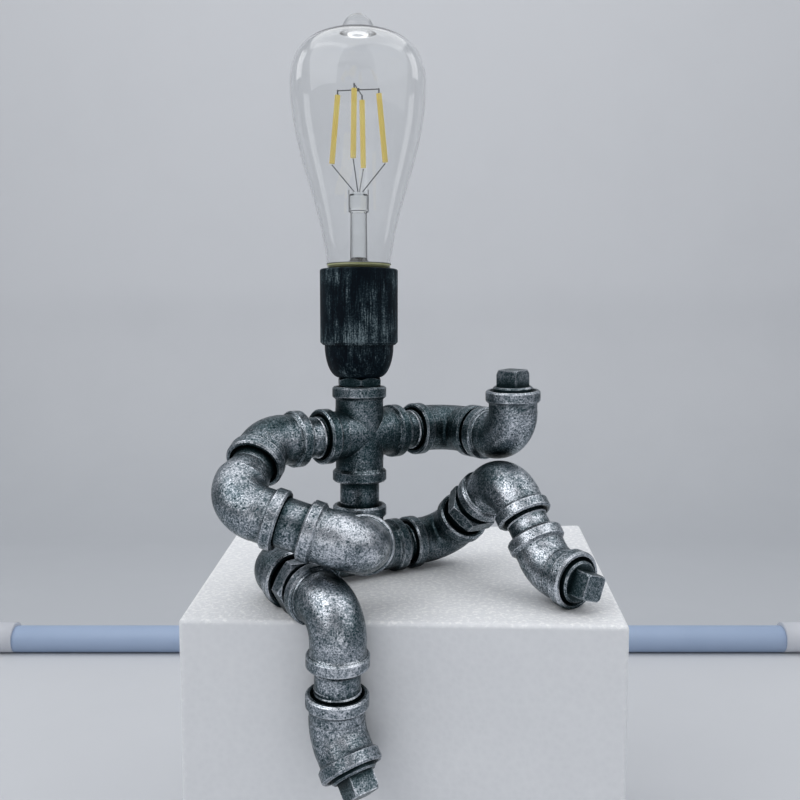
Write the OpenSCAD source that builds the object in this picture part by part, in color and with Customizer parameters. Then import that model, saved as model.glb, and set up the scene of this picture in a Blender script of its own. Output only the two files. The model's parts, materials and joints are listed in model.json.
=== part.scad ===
// Seated figure desk lamp, built from screwed half-inch malleable pipe fittings.
// Millimetres. +Z up, the front of the figure faces -Y, its left side is +X.
// The origin is on the seat, under the middle of the pelvis tee.

/* [Fittings] */
// Diameter of the raised band round each port
band_d = 28; // [26.5:0.5:32]
// Width of that band along the port
band_w = 6; // [3:0.5:8]
// Outside diameter of the cast bodies
body_d = 25; // [23.5:0.5:26]
// Inside diameter of the waterway
way_d = 16; // [12:0.5:17]
// Outside diameter of the pipe nipples and male ends
pipe_d = 20.4; // [18.5:0.1:21.4]
// Radial running clearance of a screwed joint
thread_gap = 0.05; // [0.02:0.01:0.1]
// Length of pipe hidden in each port
engage = 10; // [7:0.5:10.5]
// Length of the screwed bore in each port
bore_len = 11; // [11:0.5:13]
// Centre to end of the cross and the tee
cross_reach = 24.7; // [23:0.1:30]
// Bend radius of the right-angle elbows
elbow_bend_r = 14; // [13.2:0.1:20]
// Bend radius of the 45 degree elbows
half_bend_r = 17.4; // [13.2:0.1:24]
// Centre to male end of the street elbow
street_reach = 36.9; // [30:0.1:42]
// Bore of the nipples
nipple_bore = 15.6; // [10:0.1:16.5]

/* [Visible pipe between the fittings] */
// Torso pipe, between the cross and the pelvis tee
torso_gap = 12.5; // [2:0.1:60]
// Right shoulder nipple
shoulder_gap_right = 10.6; // [0.5:0.1:40]
// Right forearm barrel
forearm_gap = 11.1; // [0.5:0.1:40]
// Left shoulder nipple
shoulder_gap_left = 10.2; // [0.5:0.1:40]
// Left wrist nipple
wrist_gap = 2.4; // [0.5:0.1:40]
// Left hip nipple
hip_gap_left = 4.8; // [0.5:0.1:30]
// Right hip nipple
hip_gap_right = 1.9; // [0.5:0.1:30]
// Left thigh hex nipple, hexagon included
thigh_gap_left = 17.2; // [9:0.1:40]
// Right thigh hex nipple, hexagon included
thigh_gap_right = 17.2; // [9:0.1:40]
// Left shin nipple
shin_gap_left = 9.4; // [0.5:0.1:40]
// Right shin nipple
shin_gap_right = 12.3; // [0.5:0.1:40]

/* [Pose: how far each fitting is screwed round] */
// Turn of the chest over the hips
torso_turn = 3.3; // [-15:0.1:15]
// Right shoulder elbow on its nipple
shoulder_turn_right = -136; // [-180:1:180]
// Right street elbow in the shoulder elbow
elbow_turn_right = 16; // [-180:1:180]
// Right hand elbow on the forearm
hand_turn_right = -43; // [-180:1:180]
// Left shoulder elbow on its nipple
shoulder_turn_left = -88; // [-180:1:180]
// Left hand elbow on the wrist
hand_turn_left = -87; // [-180:1:180]
// Left hip elbow on its nipple
hip_turn_left = -129; // [-180:1:180]
// Left knee elbow on the thigh
knee_turn_left = 90; // [-180:1:180]
// Left foot elbow on the shin
foot_turn_left = 178; // [-180:1:180]
// Right hip elbow on its nipple
hip_turn_right = -94; // [-180:1:180]
// Right knee elbow on the thigh
knee_turn_right = -89; // [-180:1:180]
// Right foot elbow on the shin
foot_turn_right = 176; // [-180:1:180]

/* [Small fittings] */
// Across flats of the hexagon on the thigh nipples
hex_af = 24.5; // [22:0.5:27]
// Thickness of that hexagon
hex_w = 7.6; // [5:0.1:8.5]
// Side of the square on the plugs
plug_sq = 12; // [9:0.5:14]
// Height of the square on the plugs
plug_h = 8.4; // [5:0.2:12]
// Height of thread left showing under that square
plug_stand = 2; // [0.8:0.1:4]
// Turn of each of those plugs about itself
hand_plug_turn_right = 0; // [-45:1:45]
hand_plug_turn_left = 10; // [-45:1:45]
foot_plug_turn_left = -15; // [-45:1:45]
foot_plug_turn_right = 0; // [-45:1:45]
// Outside diameter of the forearm barrel
barrel_d = 22.6; // [20.5:0.1:23.4]

/* [Lamp holder] */
// Outside diameter of the holder skirt
skirt_d = 40; // [38:0.5:46]
// Height of the holder skirt
skirt_h = 38.6; // [30:0.2:50]
// Wall of the skirt and the cup
holder_wall = 2; // [1.2:0.1:2.4]
// Outside diameter of the cup under the skirt
cup_d = 35.6; // [33:0.2:37]
// Height of the cup
cup_h = 16.8; // [13:0.2:24]
// Flat under the cup
cup_flat_d = 20.6; // [14:0.2:26]
// Diameter of the hollow lamp nipple
stud_d = 10; // [8:0.5:12]
// Height of the neck bushing's hexagon
neck_h = 4.6; // [3:0.1:10]
// Across flats of the neck bushing
neck_af = 21; // [18:0.5:26]

/* [Bulb] */
// Diameter of the bulb's screw cap
cap_d = 26; // [25.6:0.1:26.6]
// Length of that cap
cap_h = 17.7; // [15:0.1:24]
// Largest diameter of the glass
bulb_d = 68.6; // [50:0.2:80]
// Diameter of the glass neck at the holder's mouth
bulb_neck_d = 32; // [29:0.2:33]
// Height of the glass above the holder, without its tip
bulb_h = 121.2; // [90:0.2:150]
// Height of the widest part above the holder
bulb_wide_h = 92.6; // [60:0.2:110]
// Height of the sealed tip
tip_h = 6; // [2:0.2:10]
// Length of each filament
filament_len = 34; // [20:0.5:50]
// Number of filaments
filament_count = 4; // [1:1:8]
// Distance of the filaments' upper ends from the axis
filament_top_r = 10.6; // [5:0.1:16]
// Distance of the filaments' lower ends from the axis
filament_foot_r = 13.8; // [5:0.1:18]

/* [Cable outlet] */
// Bore of the rubber grommet
cable_d = 6.4; // [4:0.1:7]
// Diameter of the grommet's neck
grommet_d = 9; // [8:0.1:11]

/* [Hidden] */
$fn = 64;

iron = "#4a5256";
worn_iron = "#5b6468";
black_paint = "#1c1f20";
brass = "#b08d45";
steel = "#9aa0a4";
ceramic = "#e6e2d6";

band_r = band_d / 2;
body_r = body_d / 2;
way_r = way_d / 2;
pipe_r = pipe_d / 2;
bore_r = pipe_r + thread_gap;
edge = 0.8;
neck_step = 0.1;
overlap = 1;
way_extra = 2;
mouth_depth = 2.2;
mouth_r = (bore_r + band_r - edge) / 2 + 0.3;
half_angle = 45;
elbow_reach = bore_len + elbow_bend_r;
half_reach = bore_len + half_bend_r * tan(half_angle / 2);
plug_collar = 0.8;
seat_gap = 0.3;
street_neck = 4;
hex_round = 1.2;
male_len = street_reach - elbow_bend_r;
street_taper = male_len - engage - street_neck;

// Heights along the torso
pelvis_z = band_r;
cross_z = pelvis_z + 2 * cross_reach + torso_gap;
neck_z = cross_z + cross_reach;
cup_z = neck_z + neck_h;
skirt_z = cup_z + cup_h;
mouth_z = skirt_z + skirt_h;
button_h = 1.6;
cap_glass_h = 3.8;
cap_below_mouth = 4.6;
cap_top_z = mouth_z - cap_below_mouth;
cap_z = cap_top_z - cap_h;
contact_z = cap_z - cap_glass_h - button_h;

// ---------------------------------------------------------------- fittings

// A port seen from its face: the face is at z = 0 and the fitting lies above it.
// Its neck is a hair thinner than the body and runs on into it.
module port_body(len)
    rotate_extrude()
        polygon([
            [0, 0], [band_r - edge, 0], [band_r, edge], [band_r, band_w - edge],
            [band_r - edge, band_w], [body_r + edge / 2, band_w],
            [body_r - neck_step, band_w + edge], [body_r - neck_step, len + overlap],
            [0, len + overlap]
        ]);

module port_bore()
    rotate_extrude()
        polygon([
            [0, -1], [mouth_r, -1], [mouth_r, 0], [bore_r, mouth_depth],
            [bore_r, bore_len], [0, bore_len]
        ]);

// A bend in the XZ plane. It starts at z = start, going up, and turns towards +X.
// It can begin and end a few degrees early and late.
module bend(r, bend_r, angle, start, extra = 0)
    translate([bend_r, 0, start]) rotate([90, 0, 0]) rotate([0, 0, 180 - angle - extra])
        rotate_extrude(angle = angle + 2 * extra) translate([bend_r, 0]) circle(r = r);

// Moves from the inlet face of an elbow to its outlet face, looking outwards.
module across(reach, angle)
    translate([0, 0, reach]) rotate([0, angle, 0]) translate([0, 0, reach]) children();

module elbow(bend_r, angle) {
    reach = bore_len + bend_r * tan(angle / 2);
    difference() {
        union() {
            port_body(bore_len);
            bend(body_r, bend_r, angle, bore_len);
            across(reach, angle) mirror([0, 0, 1]) port_body(bore_len);
        }
        port_bore();
        bend(way_r, bend_r, angle, bore_len, way_extra);
        across(reach, angle) mirror([0, 0, 1]) port_bore();
    }
}

module right_elbow() elbow(elbow_bend_r, 90);
module half_elbow() elbow(half_bend_r, half_angle);

// Male inlet below z = 0, hidden in the next port, and a banded outlet.
module street_elbow() {
    difference() {
        union() {
            translate([0, 0, -engage]) cylinder(r = pipe_r, h = male_len);
            translate([0, 0, street_neck])
                cylinder(r1 = pipe_r, r2 = body_r, h = street_taper);
            bend(body_r, elbow_bend_r, 90, male_len - engage);
            translate([elbow_bend_r, 0, male_len - engage + elbow_bend_r]) rotate([0, 90, 0])
                translate([0, 0, bore_len]) mirror([0, 0, 1]) port_body(bore_len);
        }
        translate([0, 0, -engage - 1]) cylinder(r = way_r, h = male_len + 1);
        bend(way_r, elbow_bend_r, 90, male_len - engage);
        translate([elbow_bend_r, 0, male_len - engage + elbow_bend_r]) rotate([0, 90, 0])
            cylinder(r = way_r, h = overlap);
        translate([elbow_bend_r, 0, male_len - engage + elbow_bend_r]) rotate([0, 90, 0])
            translate([0, 0, bore_len]) mirror([0, 0, 1]) port_bore();
    }
}

// Ports of the cross and the tee: each looks outwards from the centre.
module run_body() {
    translate([0, 0, cross_reach]) mirror([0, 0, 1]) port_body(bore_len);
    cylinder(r = body_r, h = cross_reach - bore_len);
}
module run_bore() {
    translate([0, 0, cross_reach]) mirror([0, 0, 1]) port_bore();
    cylinder(r = way_r, h = cross_reach - bore_len + overlap);
}
module facing_left() rotate([0, 90, 0]) children();
module facing_right() rotate([0, -90, 0]) children();

// A piece of pipe: z = 0 is the face that it leaves, gap is its visible length.
module nipple(gap)
    difference() {
        translate([0, 0, -engage]) cylinder(r = pipe_r, h = gap + 2 * engage);
        translate([0, 0, -engage - 1]) cylinder(d = nipple_bore, h = gap + 2 * engage + 2);
    }

module hex_nipple(gap)
    difference() {
        union() {
            translate([0, 0, -engage]) cylinder(r = pipe_r, h = gap + 2 * engage);
            translate([0, 0, (gap - hex_w) / 2]) intersection() {
                cylinder(d = hex_af / cos(30), h = hex_w, $fn = 6);
                hex_chamfer(hex_af, hex_w);
            }
        }
        translate([0, 0, -engage - 1]) cylinder(d = nipple_bore, h = gap + 2 * engage + 2);
    }

// Rounds the corners of a hexagon as turned stock has them.
module hex_chamfer(af, h)
    rotate_extrude()
        polygon([
            [0, 0], [af / 2, 0], [af / 2 / cos(30) + edge / 4, hex_round],
            [af / 2 / cos(30) + edge / 4, h - hex_round], [af / 2, h], [0, h]
        ]);

// Square-headed plug: screwed in below z = 0, its square stands out above.
module square_plug(turn)
    rotate([0, 0, turn]) difference() {
        union() {
            translate([0, 0, -engage]) cylinder(r = pipe_r, h = engage + plug_stand - plug_collar);
            translate([0, 0, plug_stand - plug_collar])
                cylinder(r1 = pipe_r, r2 = pipe_r - plug_collar, h = plug_collar);
            translate([0, 0, plug_stand]) intersection() {
                translate([-plug_sq / 2, -plug_sq / 2, 0]) cube([plug_sq, plug_sq, plug_h]);
                cylinder(r1 = plug_sq * 0.95, r2 = plug_sq * 0.62, h = plug_h);
            }
        }
        translate([0, 0, -engage - 1]) cylinder(d = nipple_bore, h = engage - 1);
    }

// ------------------------------------------------------------ where they go

// Crosses the visible pipe and turns the next fitting about it.
module screwed(gap, roll) translate([0, 0, gap]) rotate([0, 0, roll]) children();

// Goes through the next elbow to its outlet face.
module past_right(gap, roll) screwed(gap, roll) across(elbow_reach, 90) children();
module past_half(gap, roll) screwed(gap, roll) across(half_reach, half_angle) children();

module at_chest() translate([0, 0, cross_z]) rotate([0, 0, torso_turn]) children();

module at_shoulder_right() at_chest() facing_right() translate([0, 0, cross_reach]) children();
module at_elbow_right()
    at_shoulder_right() past_half(shoulder_gap_right, shoulder_turn_right) children();
module at_forearm_right()
    at_elbow_right() screwed(0, elbow_turn_right)
        translate([0, 0, street_reach - engage]) rotate([0, 90, 0])
            translate([0, 0, elbow_reach]) children();
module at_palm_right() at_forearm_right() past_right(forearm_gap, hand_turn_right) children();

module at_shoulder_left() at_chest() facing_left() translate([0, 0, cross_reach]) children();
module at_wrist_left()
    at_shoulder_left() past_right(shoulder_gap_left, shoulder_turn_left) children();
module at_palm_left() at_wrist_left() past_right(wrist_gap, hand_turn_left) children();

module at_hip_left()
    translate([0, 0, pelvis_z]) facing_left() translate([0, 0, cross_reach]) children();
module at_thigh_left() at_hip_left() past_right(hip_gap_left, hip_turn_left) children();
module at_shin_left() at_thigh_left() past_right(thigh_gap_left, knee_turn_left) children();
module at_sole_left() at_shin_left() past_half(shin_gap_left, foot_turn_left) children();

module at_hip_right()
    translate([0, 0, pelvis_z]) facing_right() translate([0, 0, cross_reach]) children();
module at_thigh_right() at_hip_right() past_right(hip_gap_right, hip_turn_right) children();
module at_shin_right() at_thigh_right() past_right(thigh_gap_right, knee_turn_right) children();
module at_sole_right() at_shin_right() past_half(shin_gap_right, foot_turn_right) children();

// ------------------------------------------------------------------ pelvis

grommet_sink = 0.6;
grommet_seat = body_r - grommet_sink;
grommet_lip = 2;
grommet_flange_d = grommet_d + 2 * grommet_lip;
grommet_flange_h = 1.8;

module facing_back() rotate([-90, 0, 0]) children();

module pelvis_tee()
    color(iron) translate([0, 0, pelvis_z]) difference() {
        union() {
            facing_left() run_body();
            facing_right() run_body();
            run_body();
        }
        facing_left() run_bore();
        facing_right() run_bore();
        run_bore();
        facing_back() cylinder(d = grommet_d + 2 * thread_gap, h = body_r + 1);
        facing_back() translate([0, 0, grommet_seat])
            cylinder(d = grommet_flange_d + 2 * seat_gap, h = 2);
    }

module torso_nipple()
    color(worn_iron) translate([0, 0, pelvis_z + cross_reach]) nipple(torso_gap);

module hip_nipple_left() color(worn_iron) at_hip_left() nipple(hip_gap_left);
module hip_nipple_right() color(worn_iron) at_hip_right() nipple(hip_gap_right);

module cable_grommet()
    color(black_paint) translate([0, 0, pelvis_z]) facing_back() difference() {
        union() {
            translate([0, 0, way_r]) cylinder(d = grommet_d, h = grommet_seat - way_r);
            translate([0, 0, grommet_seat]) cylinder(d = grommet_flange_d, h = grommet_flange_h);
        }
        translate([0, 0, way_r - 1]) cylinder(d = cable_d, h = grommet_seat + grommet_flange_h);
    }

// ------------------------------------------------------------------- torso

module body_cross()
    color(iron) at_chest() difference() {
        union() {
            facing_left() run_body();
            facing_right() run_body();
            run_body();
            mirror([0, 0, 1]) run_body();
        }
        facing_left() run_bore();
        facing_right() run_bore();
        run_bore();
        mirror([0, 0, 1]) run_bore();
    }

module shoulder_nipple_left() color(worn_iron) at_shoulder_left() nipple(shoulder_gap_left);
module shoulder_nipple_right() color(worn_iron) at_shoulder_right() nipple(shoulder_gap_right);

// ------------------------------------------------------------- lamp holder

stud_hole_d = stud_d + 2 * thread_gap;
stud_wall = 1.2;
stud_bore = stud_d - 2 * stud_wall;
stud_tail = 2;
stud_low = neck_z - engage - stud_tail;
nut_over = 2;
nut_h = 3.2;
nut_z = cup_z + holder_wall + seat_gap;
stud_top = nut_z + nut_h + 1;
insulator_sink = 1.5;
insulator_z = skirt_z - insulator_sink;
insulator_d = skirt_d - 2 * holder_wall - 2 * seat_gap;
shell_wall = 1.1;
shell_d = cap_d + 2 * thread_gap + 2 * shell_wall;
shell_below_mouth = 8.6;
contact_lift = 2.6;
shell_floor_z = contact_z - seat_gap - contact_lift;
shell_top_z = mouth_z - shell_below_mouth;
insulator_top_z = shell_top_z - shell_wall;
skirt_chamfer = 1.4;
skirt_lip = 0.5;
contact_d = 9;
contact_post_d = 5;
contact_base_h = 1.2;
shell_hole_d = 14;

module neck_bushing()
    color(black_paint) translate([0, 0, neck_z]) rotate([0, 0, torso_turn]) difference() {
        union() {
            translate([0, 0, -engage]) cylinder(r = pipe_r, h = engage);
            intersection() {
                cylinder(d = neck_af / cos(30), h = neck_h, $fn = 6);
                hex_chamfer(neck_af, neck_h);
            }
        }
        translate([0, 0, -engage - 1]) cylinder(d = stud_hole_d, h = engage + neck_h + 2);
    }

module lamp_stud()
    color(brass) difference() {
        translate([0, 0, stud_low]) cylinder(d = stud_d, h = stud_top - stud_low);
        translate([0, 0, stud_low - 1]) cylinder(d = stud_bore, h = stud_top - stud_low + 2);
    }

module stud_nut()
    color(steel) translate([0, 0, nut_z]) difference() {
        cylinder(d = (stud_d + 2 * nut_over) / cos(30), h = nut_h, $fn = 6);
        translate([0, 0, -1]) cylinder(d = stud_hole_d, h = nut_h + 2);
    }

// Quarter-ellipse side of the cup, from the flat up to the rim.
function cup_side(r0, r1, h, wall) = [
    for (a = [0 : 10 : 90]) [r0 - wall + (r1 - r0) * sin(a), wall + (h - wall) * (1 - cos(a))]
];

module holder_cup()
    color(black_paint) translate([0, 0, cup_z]) difference() {
        rotate_extrude()
            polygon(concat([[0, 0]], cup_side(cup_flat_d / 2, cup_d / 2, cup_h, 0), [[0, cup_h]]));
        rotate_extrude()
            polygon(concat(
                [[0, holder_wall]],
                cup_side(cup_flat_d / 2, cup_d / 2, cup_h, holder_wall),
                [[cup_d / 2 - holder_wall, cup_h + 1], [0, cup_h + 1]]
            ));
        translate([0, 0, -1]) cylinder(d = stud_hole_d, h = holder_wall + 2);
    }

module holder_skirt()
    color(black_paint) translate([0, 0, skirt_z]) rotate_extrude() difference() {
        polygon([
            [cup_d / 2 - holder_wall, 0], [skirt_d / 2 - skirt_chamfer, 0],
            [skirt_d / 2, skirt_chamfer], [skirt_d / 2, skirt_h - skirt_lip],
            [skirt_d / 2 - skirt_lip, skirt_h],
            [cup_d / 2 - holder_wall, skirt_h]
        ]);
        translate([0, holder_wall]) square([skirt_d / 2 - holder_wall, skirt_h]);
    }

module holder_insulator()
    color(ceramic) difference() {
        union() {
            translate([0, 0, insulator_z])
                cylinder(d = cup_d - 2 * holder_wall - 2 * seat_gap, h = holder_wall + 2);
            translate([0, 0, skirt_z + holder_wall])
                cylinder(d = insulator_d, h = insulator_top_z - skirt_z - holder_wall);
        }
        translate([0, 0, shell_floor_z]) cylinder(d = shell_d + 0.2, h = skirt_h);
        for (side = [-1, 1])
            translate([side * wire_x, 0, insulator_z - 1]) cylinder(r = wire_r + 0.1, h = 4);
    }

module screw_shell()
    color(brass) difference() {
        translate([0, 0, shell_floor_z]) cylinder(d = shell_d, h = shell_top_z - shell_floor_z);
        translate([0, 0, shell_floor_z + shell_wall])
            cylinder(d = cap_d + 2 * thread_gap, h = skirt_h);
        translate([0, 0, shell_floor_z - 1])
            cylinder(d = shell_hole_d, h = shell_wall + 2);
    }

module centre_contact()
    color(brass) translate([0, 0, shell_floor_z]) {
        cylinder(d = contact_d, h = contact_base_h);
        cylinder(d = contact_post_d, h = contact_lift);
    }

wire_r = 1.1;
wire_x = 2.2;

module wire_at(side)
    translate([side * wire_x, 0, pelvis_z + 2])
        cylinder(r = wire_r, h = insulator_z + 2 - pelvis_z - 2);

module wire_live() color("#6b3a20") wire_at(1);
module wire_neutral() color("#2a4a86") wire_at(-1);

// -------------------------------------------------------------------- bulb

glass_wall = 1;
bulb_top_z = mouth_z + bulb_h;
wide_z = mouth_z + bulb_wide_h;
filament_foot_drop = 67.4;
stem_head_drop = 82.4;
filament_foot_z = bulb_top_z - filament_foot_drop;
stem_head_z = bulb_top_z - stem_head_drop;
stem_r = 3.6;
stem_bead = 1;
stem_head_h = 10;
stem_flare_r = 10;
stem_flare_h = 6;
post_spread = 2;
cap_wall = 0.6;
tip_r = 8;
button_r = 4.6;
vent_r = 1;
filament_r = 1.4;
support_r = 0.3;
post_r = 0.38;
hub_r = 0.7;
star_lift = 2;
filament_turn = 48;

// How far each handle of the glass outline pulls its curve
neck_flare = 3;
neck_pull = 34;
flank_pull = 34;
crown_pull = 19;
crown_pull_in = 14;
crown_r = 8;

// A point on a cubic curve through two ends and two handles.
function cubic(a, b, c, d, t) =
    a * pow(1 - t, 3) + b * 3 * t * pow(1 - t, 2) + c * 3 * pow(t, 2) * (1 - t) + d * pow(t, 3);

// Outside of the glass from the cap to the widest part, then over to its solid tip.
function flank(inset) = [
    for (t = [0 : 0.0625 : 1]) cubic(
        [bulb_neck_d / 2 - inset, mouth_z],
        [bulb_neck_d / 2 + neck_flare - inset, mouth_z + neck_pull],
        [bulb_d / 2 - inset, wide_z - flank_pull], [bulb_d / 2 - inset, wide_z], t)
];
function crown(inset) = [
    for (t = [0.0625 : 0.0625 : 1]) cubic(
        [bulb_d / 2 - inset, wide_z], [bulb_d / 2 - inset, wide_z + crown_pull],
        [bulb_d / 2 - crown_pull_in, bulb_top_z - inset], [crown_r, bulb_top_z - inset], t)
];
tip = [for (a = [15 : 15 : 90]) [tip_r * cos(a), bulb_top_z + tip_h * sin(a)]];

module glass_outline(inset, top)
    polygon(concat(
        [[0, cap_top_z], [cap_d / 2 - inset - cap_wall, cap_top_z]],
        flank(inset), crown(inset), top
    ));

module bulb_glass()
    color("#dfe8ea", 0.35) rotate_extrude() difference() {
        glass_outline(0, tip);
        glass_outline(glass_wall, [[0, bulb_top_z - glass_wall]]);
    }

module bulb_cap()
    color(steel) difference() {
        translate([0, 0, cap_z]) cylinder(d = cap_d, h = cap_top_z - cap_z);
        translate([0, 0, cap_z - 1]) cylinder(d = cap_d - 2 * cap_wall, h = cap_top_z - cap_z + 2);
    }

module bulb_cap_glass()
    color(black_paint) difference() {
        translate([0, 0, cap_z - cap_glass_h])
            cylinder(r1 = button_r, r2 = cap_d / 2 - cap_wall, h = cap_glass_h);
        translate([0, 0, cap_z - cap_glass_h - 1]) cylinder(r = vent_r, h = cap_glass_h + 2);
    }

module bulb_contact() color(steel) translate([0, 0, contact_z]) cylinder(r = button_r, h = button_h);

module bulb_stem()
    color("#dfe8ea", 0.5) rotate_extrude()
        polygon([
            [0, cap_top_z], [cap_d / 2 - glass_wall - cap_wall - seat_gap, cap_top_z],
            [stem_flare_r, mouth_z - 1], [stem_r, mouth_z + stem_flare_h],
            [stem_r, stem_head_z - stem_head_h],
            [stem_r + stem_bead, stem_head_z - 0.8 * stem_head_h],
            [stem_r + stem_bead, stem_head_z - stem_bead], [stem_r, stem_head_z], [0, stem_head_z]
        ]);

// A straight round bar between two points.
module bar(from, to, r) {
    run = to - from;
    len = norm(run);
    translate(from) rotate([0, acos(run[2] / len), atan2(run[1], run[0])])
        cylinder(r = r, h = len, $fn = 20);
}

function filament_angle(i) = filament_turn + i * 360 / filament_count;
function filament_foot(i) = [
    filament_foot_r * cos(filament_angle(i)), filament_foot_r * sin(filament_angle(i)),
    filament_foot_z
];
filament_rise = sqrt(pow(filament_len, 2) - pow(filament_foot_r - filament_top_r, 2));
function filament_head(i) = [
    filament_top_r * cos(filament_angle(i)), filament_top_r * sin(filament_angle(i)),
    filament_foot_z + filament_rise
];

module bulb_filaments()
    color("#f2b93a") for (i = [0 : filament_count - 1])
        bar(filament_foot(i), filament_head(i), filament_r);

// Posts carry the filaments' feet from the stem, and a flat star joins their heads.
module bulb_supports()
    color(steel) {
        star_z = filament_foot_z + filament_rise + seat_gap + star_lift;
        for (i = [0 : filament_count - 1]) {
            bar([post_spread * cos(filament_angle(i)), post_spread * sin(filament_angle(i)),
                 stem_head_z + seat_gap],
                filament_foot(i) - [0, 0, seat_gap + support_r], support_r);
            translate(filament_head(i) + [0, 0, seat_gap])
                cylinder(r = post_r, h = star_lift + post_r, $fn = 20);
            bar([filament_head(i)[0], filament_head(i)[1], star_z], [0, 0, star_z], support_r);
        }
        translate([0, 0, star_z - hub_r]) cylinder(r = hub_r, h = 2 * hub_r);
    }

// ------------------------------------------------------------------- limbs

module shoulder_elbow_right()
    color(iron) at_shoulder_right() screwed(shoulder_gap_right, shoulder_turn_right)
        half_elbow();
module street_elbow_right() color(iron) at_elbow_right() screwed(0, elbow_turn_right) street_elbow();

// Nipple with a thicker barrel between its two screwed ends.
module forearm_barrel_right()
    color(worn_iron) at_forearm_right() difference() {
        union() {
            translate([0, 0, -engage]) cylinder(r = pipe_r, h = forearm_gap + 2 * engage);
            translate([0, 0, seat_gap]) cylinder(d = barrel_d, h = forearm_gap - 2 * seat_gap);
        }
        translate([0, 0, -engage - 1]) cylinder(d = nipple_bore, h = forearm_gap + 2 * engage + 2);
    }

module hand_elbow_right()
    color(iron) at_forearm_right() screwed(forearm_gap, hand_turn_right) right_elbow();
module hand_plug_right() color(worn_iron) at_palm_right() square_plug(hand_plug_turn_right);

module shoulder_elbow_left()
    color(iron) at_shoulder_left() screwed(shoulder_gap_left, shoulder_turn_left) right_elbow();
module wrist_nipple_left() color(worn_iron) at_wrist_left() nipple(wrist_gap);
module hand_elbow_left()
    color(iron) at_wrist_left() screwed(wrist_gap, hand_turn_left) right_elbow();
module hand_plug_left() color(worn_iron) at_palm_left() square_plug(hand_plug_turn_left);

module hip_elbow_left()
    color(iron) at_hip_left() screwed(hip_gap_left, hip_turn_left) right_elbow();
module thigh_nipple_left() color(worn_iron) at_thigh_left() hex_nipple(thigh_gap_left);
module knee_elbow_left()
    color(iron) at_thigh_left() screwed(thigh_gap_left, knee_turn_left) right_elbow();
module shin_nipple_left() color(worn_iron) at_shin_left() nipple(shin_gap_left);
module foot_elbow_left()
    color(iron) at_shin_left() screwed(shin_gap_left, foot_turn_left) half_elbow();
module foot_plug_left() color(worn_iron) at_sole_left() square_plug(foot_plug_turn_left);

module hip_elbow_right()
    color(iron) at_hip_right() screwed(hip_gap_right, hip_turn_right) right_elbow();
module thigh_nipple_right() color(worn_iron) at_thigh_right() hex_nipple(thigh_gap_right);
module knee_elbow_right()
    color(iron) at_thigh_right() screwed(thigh_gap_right, knee_turn_right) right_elbow();
module shin_nipple_right() color(worn_iron) at_shin_right() nipple(shin_gap_right);
module foot_elbow_right()
    color(iron) at_shin_right() screwed(shin_gap_right, foot_turn_right) half_elbow();
module foot_plug_right() color(worn_iron) at_sole_right() square_plug(foot_plug_turn_right);

pelvis_tee();
torso_nipple();
hip_nipple_left();
hip_nipple_right();
cable_grommet();
body_cross();
shoulder_nipple_left();
shoulder_nipple_right();
neck_bushing();
lamp_stud();
stud_nut();
holder_cup();
holder_skirt();
holder_insulator();
screw_shell();
centre_contact();
wire_live();
wire_neutral();
bulb_cap();
bulb_cap_glass();
bulb_contact();
bulb_glass();
bulb_stem();
bulb_supports();
bulb_filaments();
shoulder_elbow_right();
street_elbow_right();
forearm_barrel_right();
hand_elbow_right();
hand_plug_right();
shoulder_elbow_left();
wrist_nipple_left();
hand_elbow_left();
hand_plug_left();
hip_elbow_left();
thigh_nipple_left();
knee_elbow_left();
shin_nipple_left();
foot_elbow_left();
foot_plug_left();
hip_elbow_right();
thigh_nipple_right();
knee_elbow_right();
shin_nipple_right();
foot_elbow_right();
foot_plug_right();
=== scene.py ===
# %% [markdown]
# # A seated figure lamp built of pipe fittings
# The CAD model gives every fitting its exact shape and its place.
# This script gives those shapes their looks: rubbed cast iron, clear glass, a foam block to sit on,
# a pale light tent, a camera and the lights. Run it from top to bottom in Blender's text editor.

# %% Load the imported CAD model
import json
import math

import bpy
import numpy as np
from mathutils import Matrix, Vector


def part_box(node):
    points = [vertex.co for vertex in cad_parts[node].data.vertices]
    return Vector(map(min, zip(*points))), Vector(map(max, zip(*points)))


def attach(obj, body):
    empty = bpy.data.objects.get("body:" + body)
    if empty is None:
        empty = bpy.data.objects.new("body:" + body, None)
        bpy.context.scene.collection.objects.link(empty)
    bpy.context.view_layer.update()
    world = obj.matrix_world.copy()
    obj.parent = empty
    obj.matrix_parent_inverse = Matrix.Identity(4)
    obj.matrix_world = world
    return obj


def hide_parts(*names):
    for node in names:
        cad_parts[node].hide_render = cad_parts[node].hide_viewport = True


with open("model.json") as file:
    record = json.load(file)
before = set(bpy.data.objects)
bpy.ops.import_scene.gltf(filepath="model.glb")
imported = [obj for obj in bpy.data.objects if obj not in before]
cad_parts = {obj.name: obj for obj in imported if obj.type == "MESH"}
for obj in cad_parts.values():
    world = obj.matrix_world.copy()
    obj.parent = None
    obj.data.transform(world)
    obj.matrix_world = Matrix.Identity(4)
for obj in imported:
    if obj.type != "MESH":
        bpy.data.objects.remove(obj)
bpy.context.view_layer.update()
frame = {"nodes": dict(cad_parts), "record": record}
MM = 0.001

# %% [markdown]
# ## Sizes that several cells use
# All lengths are metres. The origin lies on the seat under the hips, and the figure faces -Y.
# The mouth is the upper rim of the lamp holder, where the glass begins.

# %% Shared sizes
PIPE_R = 10.2 * MM
MOUTH_Z = 160.6 * MM
CAMERA_HEADING = math.radians(34.0)
print("pipe radius:", PIPE_R, "mouth height:", MOUTH_Z)

# %% [markdown]
# ## Helpers for node trees
# `node` adds one shader node and sets its properties and input values.
# `wire` joins an output to an input. Both keep the material cells short.

# %% Node helpers
def node(tree, kind, inputs=None, **props):
    made = tree.nodes.new(kind)
    for key, value in props.items():
        setattr(made, key, value)
    for key, value in (inputs or {}).items():
        made.inputs[key].default_value = value
    return made


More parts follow.
